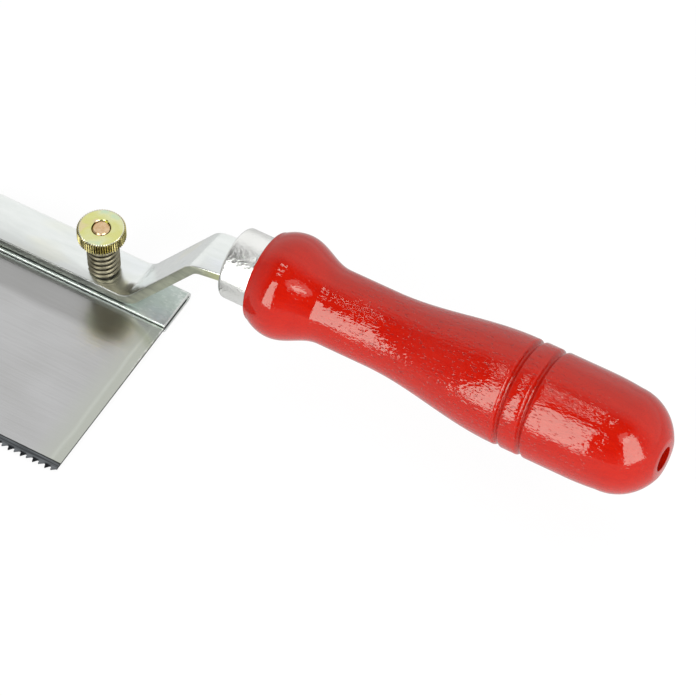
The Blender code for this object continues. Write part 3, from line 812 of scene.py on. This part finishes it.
# %% A socket that can be reckoned with
class Reading:
    """One node output. Arithmetic on it adds Math nodes, and node() adds any other."""

    def __init__(self, socket):
        self.socket = socket

    def node(self, kind, settings=None, inputs=None, output=0):
        """Add a node, set it up, then give its inputs values or links."""
        tree = self.socket.id_data
        added = tree.nodes.new(kind)
        for name, value in (settings or {}).items():
            if name == "stops":
                set_stops(added.color_ramp, value)
            else:
                setattr(added, name, value)
        for name, value in (inputs or {}).items():
            if isinstance(value, Reading):
                tree.links.new(value.socket, added.inputs[name])
            else:
                added.inputs[name].default_value = value
        return Reading(added.outputs[output])

    def math(self, operation, other=0.0):
        """Add one Math node on this reading, and on another where the operation takes two."""
        return self.node("ShaderNodeMath", {"operation": operation}, {0: self, 1: other})

    def __add__(self, other):
        return self.math("ADD", other)

    def __sub__(self, other):
        return self.math("SUBTRACT", other)

    def __mul__(self, other):
        return self.math("MULTIPLY", other)

    def __rsub__(self, other):
        return self.node("ShaderNodeMath", {"operation": "SUBTRACT"}, {0: other, 1: self})

    __radd__ = __add__
    __rmul__ = __mul__

    def part(self, low, high):
        """0 where the value is low, 1 where it is high, and a straight run between."""
        return self.node("ShaderNodeMapRange", {"clamp": True}, {0: self, 1: low, 2: high, 3: 0.0, 4: 1.0})

    def within(self, low, high, soft):
        """1 between two values, with soft edges."""
        return self.part(low - soft, low + soft) * (1 - self.part(high - soft, high + soft))

    def tint(self, low_colour, high_colour):
        """Mix two colours, or readings, by this share."""
        inputs = {0: self, 6: low_colour, 7: high_colour}
        return self.node("ShaderNodeMix", {"data_type": "RGBA"}, inputs, 2)


def lay(colour, *coats):
    """Lay coats over a colour in order: each is a share and the colour that it brings."""
    for share, coat in coats:
        colour = share.tint(colour, coat)
    return colour


def set_stops(ramp, stops):
    """Give a colour ramp its stops: (place, colour) pairs in order."""
    while len(ramp.elements) < len(stops):
        ramp.elements.new(1.0)
    for element, (place, colour) in zip(ramp.elements, stops):
        element.position = place
        element.color = colour


# %% A finish on a piece
def new_finish(piece, name, metallic=1.0):
    """Give a piece one material, and return its shader and its surface position."""
    material = bpy.data.materials.new(name)
    material.use_nodes = True
    shader = material.node_tree.nodes["Principled BSDF"]
    shader.inputs["Metallic"].default_value = metallic
    place = Reading(material.node_tree.nodes.new("ShaderNodeTexCoord").outputs["Object"])
    piece.data.materials.clear()
    piece.data.materials.append(material)
    print("finish of", piece.name + ":", name)
    return shader, place


def feed(shader, name, reading):
    """Link a reading to one of the shader's inputs."""
    shader.id_data.links.new(reading.socket, shader.inputs[name])


def dress(shader, colour, roughness):
    """Link a finish's colour and roughness."""
    feed(shader, "Base Color", colour)
    feed(shader, "Roughness", roughness)


def noise(place, stretch, detail=3.0, rough=0.55):
    """Noise with a given number of waves per metre along X, Y and Z."""
    mapped = place.node("ShaderNodeMapping", {}, {"Vector": place, "Scale": stretch})
    inputs = {"Vector": mapped, "Scale": 1.0, "Detail": detail, "Roughness": rough}
    return place.node("ShaderNodeTexNoise", {"noise_dimensions": "3D"}, inputs)


def bump(shader, height, distance, strength=1.0):
    """Raise the surface by a height reading, to a distance in metres at a height of 1."""
    inputs = {"Height": height, "Distance": distance, "Strength": strength}
    feed(shader, "Normal", height.node("ShaderNodeBump", {}, inputs))


def split(place):
    """The three coordinates as readings."""
    first = place.node("ShaderNodeSeparateXYZ", {}, {"Vector": place})
    return [Reading(output) for output in first.socket.node.outputs]


def out_from_stud(x, y):
    """How far the surface is from the stud's axis."""
    across, away = x - stud_x, y - stud_y
    return (across * across + away * away).math("SQRT")


# %% [markdown]
# ## Ground steel with a hard tooth line
# The blade is ground along its length, so its grain is long fine lines. The teeth are hardened in a
# narrow strip, which leaves the steel blue-grey there, with two dark lines where the heat stopped. The
# teeth bent down are painted darker than those bent up, as painted shade. A painted shade and
# reflection darkens a band under the fold, and painted shade darkens the blade inside the fold. A
# pale stripe runs just inside the heel, the steel is greener along the heel, and white specks lie near
# its upper end. Each of these is a mask made from the place on the blade, and the colours are laid
# over one another by their masks.

# %% Finish of the blade
STEEL = (0.57, 0.57, 0.575, 1.0)
STEEL_DULL = (0.49, 0.49, 0.485, 1.0)
STEEL_PAINTED_SHADE = (0.17, 0.17, 0.155, 1.0)
STEEL_HEEL = (0.52, 0.54, 0.485, 1.0)
HEEL_STRIPE = (0.66, 0.69, 0.63, 1.0)
WHITE_WEAR_AND_GLINT = (0.92, 0.93, 0.90, 1.0)
HARD_STEEL = (0.075, 0.080, 0.085, 1.0)
HARD_PALE = (0.20, 0.215, 0.225, 1.0)
TOOTH_STEEL = (0.17, 0.18, 0.19, 1.0)
TOOTH_PAINTED_SHADE = (0.022, 0.024, 0.027, 1.0)
DARK_LINE_AND_SHADE = (0.020, 0.021, 0.021, 1.0)
SHADE_Y = (-0.0185, -0.0160)
HEEL_REACH = (0.0020, 0.0100)
STRIPE_REACH = (0.0026, 0.0034)
SPECK_REACH = (0.0003, 0.0007)
SPECK_Y = (-0.030, -0.012)
GRAIN_BUMP = 0.000018
shader, place = new_finish(blade, "ground_steel")
x, y, z = split(place)
grain = noise(place, (60.0, 2600.0, 2600.0), 2.0)
clouds = noise(place, (45.0, 60.0, 60.0), 2.0)
drift = noise(place, (60.0, 60.0, 0.0), 1.0)
wander = noise(place, (350.0, 0.0, 0.0), 2.0)
flecks = noise(place, (2200.0, 1100.0, 0.0), 2.0).part(0.46, 0.54)

steel = (clouds * 0.6 + grain * 0.4).part(0.3, 0.7).tint(STEEL_DULL, STEEL)
# Painted shade and reflection: the steel is darker in a band under the fold.
under_fold_painted_shade = (y + (clouds - 0.5) * 0.004).part(*SHADE_Y)
from_heel = blade_high.x - x
heel = 1 - from_heel.part(*HEEL_REACH)
stripe = (from_heel + (drift - 0.5) * 0.0016).within(*STRIPE_REACH, 0.0005) * clouds.part(0.35, 0.55)
specks = (1 - from_heel.part(*SPECK_REACH)) * flecks * y.part(*SPECK_Y)
steel = lay(steel, (under_fold_painted_shade * 0.38, STEEL_PAINTED_SHADE), (heel, STEEL_HEEL), (stripe * 0.5, HEEL_STRIPE),
            (specks, WHITE_WEAR_AND_GLINT))

# %% The hardened strip, the dark edge and the painted shade in the fold
HEAT_LINE_Y = -0.0594
HEAT_LINE_HALF = 0.00018
SECOND_LINE = (HEAT_LINE_Y - 0.00105, HEAT_LINE_Y - 0.00080)
LINE_SOFT = 0.00006
edge = y + (wander - 0.5) * 0.00025
hard = 1 - edge.part(HEAT_LINE_Y - 0.00004, HEAT_LINE_Y + 0.00004)
streaks = noise(place, (160.0, 4200.0, 4200.0))
strip = streaks.part(0.35, 0.7).tint(HARD_STEEL, HARD_PALE)
# Painted shade: the teeth bent down are darker than those bent up.
bent_down = 1 - ((x - first_gullet_x) * (1 / pair_width)).math("FRACT").part(0.48, 0.52)
tooth = bent_down.tint(TOOTH_STEEL, TOOTH_PAINTED_SHADE)
strip = (1 - y.part(gullet_y - 0.0001, gullet_y + 0.0003)).tint(strip, tooth)
first_line = edge.within(HEAT_LINE_Y - HEAT_LINE_HALF, HEAT_LINE_Y + HEAT_LINE_HALF, LINE_SOFT)
second_line = edge.within(*SECOND_LINE, LINE_SOFT) * streaks.part(0.25, 0.50)
cut_end = 1 - from_heel.part(0.00002, 0.00010)
# Painted shade: the blade is dark inside the fold.
in_fold_painted_shade = y.part(back_low.y + 0.0001, back_low.y + 0.0004)
colour = lay(steel, (hard, strip), (first_line * 0.9, DARK_LINE_AND_SHADE), (second_line * 0.7, DARK_LINE_AND_SHADE),
             (cut_end * 0.92, DARK_LINE_AND_SHADE), (in_fold_painted_shade * 0.95, DARK_LINE_AND_SHADE))
dress(shader, colour, 0.19 + grain * 0.06 + hard * 0.12)
bump(shader, grain, GRAIN_BUMP)

# %% [markdown]
# ## Zinc plate
# Bright zinc is a soft white metal. Its passivation leaves faint clouds of yellow and lavender, which
# are the colours of a film a few light waves thick, and handling leaves it a little scuffed. The bar's
# sides were sheared, so they are torn and dull; a painted highlight makes them paler at the low bend,
# and a painted glint runs along the broken edges of its top. The back is duller and darker at the very
# edge of its mouth. It has a painted highlight, broken up, along its mouth's rim and another along its
# end, a painted shadow in the seam beside the bar, and a corner rubbed white.

# %% Zinc with its film
ZINC = (0.89, 0.92, 0.90, 1.0)
ZINC_YELLOW = (0.90, 0.91, 0.80, 1.0)
ZINC_LAVENDER = (0.85, 0.88, 0.90, 1.0)
ZINC_SCUFF = (0.72, 0.77, 0.74, 1.0)
SATIN = (0.52, 0.59, 0.55, 1.0)
SATIN_YELLOW = (0.57, 0.61, 0.51, 1.0)
SATIN_BLUE = (0.49, 0.56, 0.57, 1.0)
SATIN_SCUFF = (0.34, 0.39, 0.36, 1.0)


def zinc_finish(piece, name, colours, along, height):
    """Plated zinc: cool, plain and warm film in wide clouds, under fine scuffs along a stretch."""
    cool, plain, warm, scuffed = colours
    shader, place = new_finish(piece, name)
    clouds = noise(place, (38.0, 90.0, 60.0), 2.0)
    stops = [(0.30, cool), (0.45, plain), (0.60, plain), (0.75, warm)]
    film = clouds.node("ShaderNodeValToRGB", {"stops": stops}, {"Fac": clouds})
    scuffs = noise(place, along, 3.0, 0.6)
    dull = scuffs.part(0.35, 0.75)
    bump(shader, scuffs, height, 0.6)
    return shader, place, (dull * 0.35).tint(film, scuffed), dull


# %% Finish of the bar
SHEARED = (0.13, 0.14, 0.13, 1.0)
SHEARED_PALE = (0.36, 0.375, 0.33, 1.0)
SHEARED_BEND_HIGHLIGHT = (0.50, 0.52, 0.41, 1.0)
SHEARED_YELLOW = (0.60, 0.62, 0.36, 1.0)
ZINC_PAINTED_GLINT = (0.99, 1.0, 0.98, 1.0)
BEND_X = (low_corner_x - 0.008, low_corner_x + 0.001)
YELLOW_X = (0.137, 0.143)
# Bands from the bar's middle line: the side itself, and the broken edge beside it, which gets a painted
# glint
SIDE_BAND = (bar_half_width - 0.00012, bar_half_width - 0.00004)
RIM_BAND = (bar_half_width - 0.00034, bar_half_width - 0.00014)
bright = (ZINC_LAVENDER, ZINC, ZINC_YELLOW, ZINC_SCUFF)
shader, place, colour, dull = zinc_finish(bar, "bright_zinc", bright, (90.0, 500.0, 500.0), 0.000003)
x, y, z = split(place)
narrowing = x.part(tang_x, mouth_x) * (bar_half_width - MOUTH_HALF_WIDTH)
from_middle = (y - bar_y).math("ABSOLUTE") + narrowing
side = from_middle.part(*SIDE_BAND)
# Painted glint along the top's broken edges.
top_rim_painted_glint = from_middle.within(*RIM_BAND, 0.00004)
torn = noise(place, (120.0, 0.0, 420.0), 3.0, 0.6).part(0.35, 0.65)
# Painted highlight: the sheared side is paler at the low bend.
sheared = lay(torn.tint(SHEARED, SHEARED_PALE), (x.part(*BEND_X) * (torn * 0.4 + 0.5), SHEARED_BEND_HIGHLIGHT),
              (x.part(*YELLOW_X), SHEARED_YELLOW))
dress(shader, lay(colour, (top_rim_painted_glint * 0.8, ZINC_PAINTED_GLINT), (side, sheared)), 0.20 + dull * 0.06 + side * 0.24)

# %% Finish of the back
SEAM_PAINTED_SHADOW = (0.018, 0.022, 0.020, 1.0)
MOUTH_Y = (back_low.y + 0.00002, back_low.y + 0.00008)
MOUTH_RIM_Y = (back_low.y + 0.00004, back_low.y + 0.00026)
SEAM_Y = (back_low.y + 0.00056, bar_y - bar_half_width + 0.0006)
SEAM_END_X = (flat_end_x, flat_end_x + 0.008)
END_REACH = (0.0001, 0.0004)
CORNER_REACH = (0.0015, 0.0045)
CORNER_Y = (0.0, 0.005)
satin = (SATIN_BLUE, SATIN, SATIN_YELLOW, SATIN_SCUFF)
shader, place, colour, dull = zinc_finish(back, "satin_zinc", satin, (500.0, 1100.0, 1100.0), 0.000006)
x, y, z = split(place)
mouth = 1 - y.part(*MOUTH_Y)
# Painted shadow: the seam beside the bar is dark.
seam_painted_shadow = y.within(*SEAM_Y, 0.00014) * (1 - x.part(*SEAM_END_X))
scratches = noise(place, (520.0, 1700.0, 900.0)).part(0.58, 0.66)
# Painted highlights: a broken line along the mouth's rim and a line along the end; the scratches and the
# corner are wear.
mouth_rim_painted_glint = y.within(*MOUTH_RIM_Y, 0.00006) * noise(place, (900.0, 0.0, 0.0)).part(0.35, 0.6)
from_end = back_high.x - x
end_edge_painted_glint = 1 - from_end.part(*END_REACH)
corner = (1 - from_end.part(*CORNER_REACH)) * (y.part(*CORNER_Y) * 0.7 + 0.3)
worn_white = corner * noise(place, (420.0, 700.0, 0.0), 4.0, 0.65).part(0.48, 0.60)
wear_and_painted_glint = scratches * 0.25 + mouth_rim_painted_glint * 0.8 + end_edge_painted_glint * 0.6
colour = lay(colour, (mouth * 0.6, SATIN_SCUFF), (seam_painted_shadow * 0.92, SEAM_PAINTED_SHADOW), (worn_white * 0.7, WHITE_WEAR_AND_GLINT),
             (wear_and_painted_glint, WHITE_WEAR_AND_GLINT))
dress(shader, colour, 0.30 + dull * 0.12 + mouth * 0.2 + seam_painted_shadow * 0.3)

# %% [markdown]
# ## Yellow passivated nut, copper stud and oiled spring
# The nut's film is thicker than the bar's, so it is yellow-green with pink and blue-green patches. Its
# chamfer carries a painted glint, and its ribbed wall a painted shade that is darkest in the hollows.
# The stud is flashed with copper and keeps the rings of the tool that faced it. The spring is oiled
# wire, dark where the oil has gathered and with fine lines along the wire.

# %% Finish of the nut
KNOB_YELLOW = (0.74, 0.74, 0.28, 1.0)
KNOB_PALE = (0.78, 0.80, 0.46, 1.0)
KNOB_PINK = (0.82, 0.62, 0.50, 1.0)
KNOB_BLUE_GREEN = (0.56, 0.78, 0.60, 1.0)
KNOB_PAINTED_GLINT = (0.98, 1.0, 0.86, 1.0)
KNOB_RIB_SHADED = (0.66, 0.58, 0.24, 1.0)
KNOB_HOLLOW_SHADE = (0.075, 0.058, 0.022, 1.0)
GLINT_BAND = (face_radius - 0.00002, face_radius + 0.00022)
WALL_BAND = (face_radius + 0.00005, face_radius + 0.00025)
FINE_BUMP = 0.000006
shader, place = new_finish(knob, "yellow_zinc")
x, y, z = split(place)
clouds = noise(place, (150.0, 150.0, 150.0), 2.0, 0.5)
stops = [(0.28, KNOB_BLUE_GREEN), (0.42, KNOB_PALE), (0.56, KNOB_YELLOW), (0.72, KNOB_PINK)]
film = clouds.node("ShaderNodeValToRGB", {"stops": stops}, {"Fac": clouds})
out = out_from_stud(x, y)
around = (y - stud_y).math("ARCTAN2", x - stud_x)
hollow = 0.5 - (around * RIBS).math("COSINE") * 0.5
# Painted shade: the ribbed wall is darker, darkest in the hollows.
painted_rib_shade = hollow.part(0.25, 0.75).tint(KNOB_RIB_SHADED, KNOB_HOLLOW_SHADE)
# Painted glint on the chamfer, brightest on the ribs.
chamfer_painted_glint = out.within(*GLINT_BAND, 0.00005) * (1 - hollow * 0.7)
colour = lay(film, (out.part(*WALL_BAND), painted_rib_shade), (chamfer_painted_glint * 0.85, KNOB_PAINTED_GLINT))
specks = noise(place, (900.0, 900.0, 900.0))
dress(shader, colour, 0.16 + specks * 0.14)
bump(shader, specks, FINE_BUMP, 0.6)

# %% Finish of the stud
COPPER = (0.84, 0.63, 0.40, 1.0)
COPPER_DARK = (0.70, 0.47, 0.26, 1.0)
SHANK = (0.10, 0.085, 0.065, 1.0)
SHANK_END_Z = (knob_low.z, knob_low.z + 0.001)
RING_WAVES = 26000.0
shader, place = new_finish(stud, "copper_flash")
x, y, z = split(place)
rings = (out_from_stud(x, y) * RING_WAVES).math("SINE") * 0.5 + 0.5
patches = noise(place, (1100.0, 1100.0, 1100.0))
copper = patches.part(0.35, 0.7).tint(COPPER_DARK, COPPER)
# The shank below the nut is dark.
dress(shader, lay(copper, (1 - z.part(*SHANK_END_Z), SHANK)), 0.20 + patches * 0.16)
bump(shader, rings * 0.5 + patches, FINE_BUMP, 0.5)

# %% Finish of the spring
SPRING_DARK = (0.14, 0.125, 0.080, 1.0)
SPRING_BRIGHT = (0.31, 0.29, 0.21, 1.0)
shader, place = new_finish(spring, "oiled_wire")
oil = noise(place, (420.0, 420.0, 900.0))
fine = noise(place, (1500.0, 1500.0, 6000.0), 2.0)
dress(shader, (oil * 0.7 + fine * 0.3).part(0.32, 0.68).tint(SPRING_DARK, SPRING_BRIGHT), 0.36 + oil * 0.2)
bump(shader, fine, FINE_BUMP, 0.6)

# %% [markdown]
# ## Bright plated collar
# The plate is thin over a pressed cup, so it mirrors the studio but breaks it up into specks where
# the metal under it is pitted. A fine bump does that by itself at the edges of a reflection.

# %% Finish of the collar
NICKEL = (0.93, 0.935, 0.91, 1.0)
NICKEL_DULL = (0.86, 0.865, 0.83, 1.0)
PIT_BUMP = 0.00012
shader, place = new_finish(ferrule, "bright_nickel")
pits = noise(place, (1700.0, 1700.0, 1700.0), 2.0, 0.65)
haze = noise(place, (160.0, 160.0, 160.0), 2.0)
dress(shader, haze.part(0.35, 0.7).tint(NICKEL, NICKEL_DULL), 0.13 + haze * 0.10)
bump(shader, pits, PIT_BUMP)

# %% [markdown]
# ## Red lacquer on turned wood
# The wood is sealed, dipped in red and left glossy. The lacquer is nearly smooth on the bulb and the
# dome, but it sank into the grain on the waist and the swell, and less so on the barrel, so highlights
# break into ragged streaks there. Pores show as short darker marks. The bump is therefore one sum of
# coarse and fine noise and pores, times how much the film sank at each place behind the shoulder. A
# constant tint of the reflections makes the highlights beige.

# %% Finish of the handle
RED = (0.355, 0.006, 0.001, 1.0)
RED_DEEP = (0.32, 0.004, 0.001, 1.0)
RED_PORE = (0.22, 0.002, 0.001, 1.0)
REFLECTION_TINT = (0.62, 1.0, 0.88, 1.0)
LACQUER_IOR = 1.5
LACQUER_BUMP = 0.00018
# Stretches behind the shoulder: where sinking starts, where it eases, and where it ends
SINK_START = (0.020, 0.032)
SINK_EASES = (0.086, 0.090)
SINK_END = (0.100, 0.107)
LEAST_SUNK = 0.22
shader, place = new_finish(handle, "red_lacquer", metallic=0.0)
shader.inputs["IOR"].default_value = LACQUER_IOR
shader.inputs["Specular Tint"].default_value = REFLECTION_TINT
x, y, z = split(place)
behind = x - shoulder_x
grain = noise(place, (90.0, 900.0, 900.0))
peel = noise(place, (260.0, 820.0, 820.0), 2.0)
fine = noise(place, (600.0, 1700.0, 1700.0), 1.0, 0.5)
pit = noise(place, (800.0, 2300.0, 2300.0), 0.0).part(0.68, 0.76)
rough_stretch = behind.part(*SINK_START) * (1 - behind.part(*SINK_END))
sunk = rough_stretch * (0.95 - behind.part(*SINK_EASES) * 0.45) + LEAST_SUNK
red = grain.part(0.3, 0.7).tint(RED_DEEP, RED)
dress(shader, lay(red, (pit * sunk * 0.6, RED_PORE)), 0.03 + grain * 0.03)
bump(shader, (peel * 0.45 + fine * 0.50 - pit * 0.30) * sunk, LACQUER_BUMP)

# %% [markdown]
# ## Floor and studio light
# The saw lies on a white table before a pale wall, which the flat metal mirrors. Two tall soft boxes
# stand in front and give the handle its block highlights, a weaker one stands by the camera, and three
# thin tubes hang above. A ceiling lamp lights the saw from above and is kept out of its reflections.
# The world is dark on the camera's side, apart from a horizon and its two sides, so the red stays deep
# between the highlights. The floor is plain white to the camera and nearly so in reflections: a share
# of it glows for those rays, and the rest is matt and keeps a soft shadow.

# %% Floor
FLOOR_SIZE = 6.0
FLOOR_GAP = 0.0002
FLOOR_GREY = (0.86, 0.86, 0.86, 1.0)
PLAIN_WHITE = (1.0, 1.0, 1.0, 1.0)
GLOW_SHARE = 0.90
MIRRORED_GLOW = 0.65
floor_z = frame_low.z - FLOOR_GAP
floor = start_piece("floor", bpy.ops.mesh.primitive_plane_add, size=FLOOR_SIZE, location=(0.0, 0.0, floor_z))
material = bpy.data.materials.new("white_table")
material.use_nodes = True
tree = material.node_tree
tree.nodes.remove(tree.nodes["Principled BSDF"])
rays = tree.nodes.new("ShaderNodeLightPath").outputs
seen = Reading(rays["Is Camera Ray"])
shown = seen + Reading(rays["Is Glossy Ray"]) + Reading(rays["Is Transmission Ray"])
matt = seen.node("ShaderNodeBsdfDiffuse", {}, {"Color": FLOOR_GREY})
strength = seen * (1 - MIRRORED_GLOW) + MIRRORED_GLOW
glow = seen.node("ShaderNodeEmission", {}, {"Color": PLAIN_WHITE, "Strength": strength})
share = (shown * GLOW_SHARE).math("MINIMUM", GLOW_SHARE)
mixed = share.node("ShaderNodeMixShader", {}, {0: share, 1: matt, 2: glow})
tree.links.new(mixed.socket, tree.nodes["Material Output"].inputs["Surface"])
floor.data.materials.append(material)
print("floor at z mm:", round(floor_z * 1000, 2))


# %% Soft boxes
DOWN = (0.0, 0.0, -1.0)


def soft_box(name, place, towards, width, height, radiance):
    """Hang a soft box at a place, facing along a direction, as bright as its radiance says."""
    lamp = bpy.data.lights.new(name, "AREA")
    lamp.shape = "RECTANGLE"
    lamp.size = width
    lamp.size_y = height
    lamp.energy = radiance * pi * width * height
    item = bpy.data.objects.new(name, lamp)
    bpy.context.collection.objects.link(item)
    item.location = place
    item.rotation_euler = (-Vector(towards)).to_track_quat("Z", "Y").to_euler()
    print(name, "watts:", round(lamp.energy, 2))
    return item


soft_box("tall_box_left", (0.005, -0.72, 0.48), (0.0, 1.0, 0.0), 0.34, 0.95, 6.4)
soft_box("tall_box_right", (0.90, -0.40, 0.55), (-0.85, 0.53, 0.0), 0.54, 1.1, 5.8)
soft_box("box_by_camera", (0.81, -0.58, 1.14), (-0.457, 0.412, -0.788), 0.50, 0.46, 1.6)
for number, tube_y in enumerate((-0.38, -0.19, 0.0)):
    soft_box("tube_%d" % number, (0.005, tube_y, 1.05), DOWN, 0.36, 0.03, 10.5)
ceiling = soft_box("ceiling", (0.1, 0.2, 1.3), DOWN, 1.4, 1.0, 1.4)
ceiling.visible_glossy = False

# %% World and colour
DARK_SIDE = 0.06
LIGHT_SIDE = 0.95
HORIZON = 0.22
SIDES = 0.34
# Parts of a direction between which the world changes
BEHIND_Y = (0.0, 0.42)
BESIDE_X = (0.42, 0.72)
HORIZON_Z = (0.10, 0.42)
world = bpy.data.worlds.new("studio")
bpy.context.scene.world = world
world.use_nodes = True
tree = world.node_tree
ambient = tree.nodes["Background"]
ambient.inputs["Color"].default_value = PLAIN_WHITE
direction = Reading(tree.nodes.new("ShaderNodeTexCoord").outputs["Generated"])
world_x, world_y, world_z = split(direction)
behind = world_y.part(*BEHIND_Y)
beside = world_x.math("ABSOLUTE").part(*BESIDE_X)
low_down = 1 - world_z.part(*HORIZON_Z)
level = behind * (LIGHT_SIDE - DARK_SIDE) + DARK_SIDE
level = level + (1 - behind) * (low_down * HORIZON + beside * SIDES)
seen = Reading(tree.nodes.new("ShaderNodeLightPath").outputs["Is Camera Ray"])
tree.links.new((seen * (1 - level) + level).socket, ambient.inputs["Strength"])
bpy.context.scene.view_settings.view_transform = "Standard"
print("world from", DARK_SIDE, "to", LIGHT_SIDE)
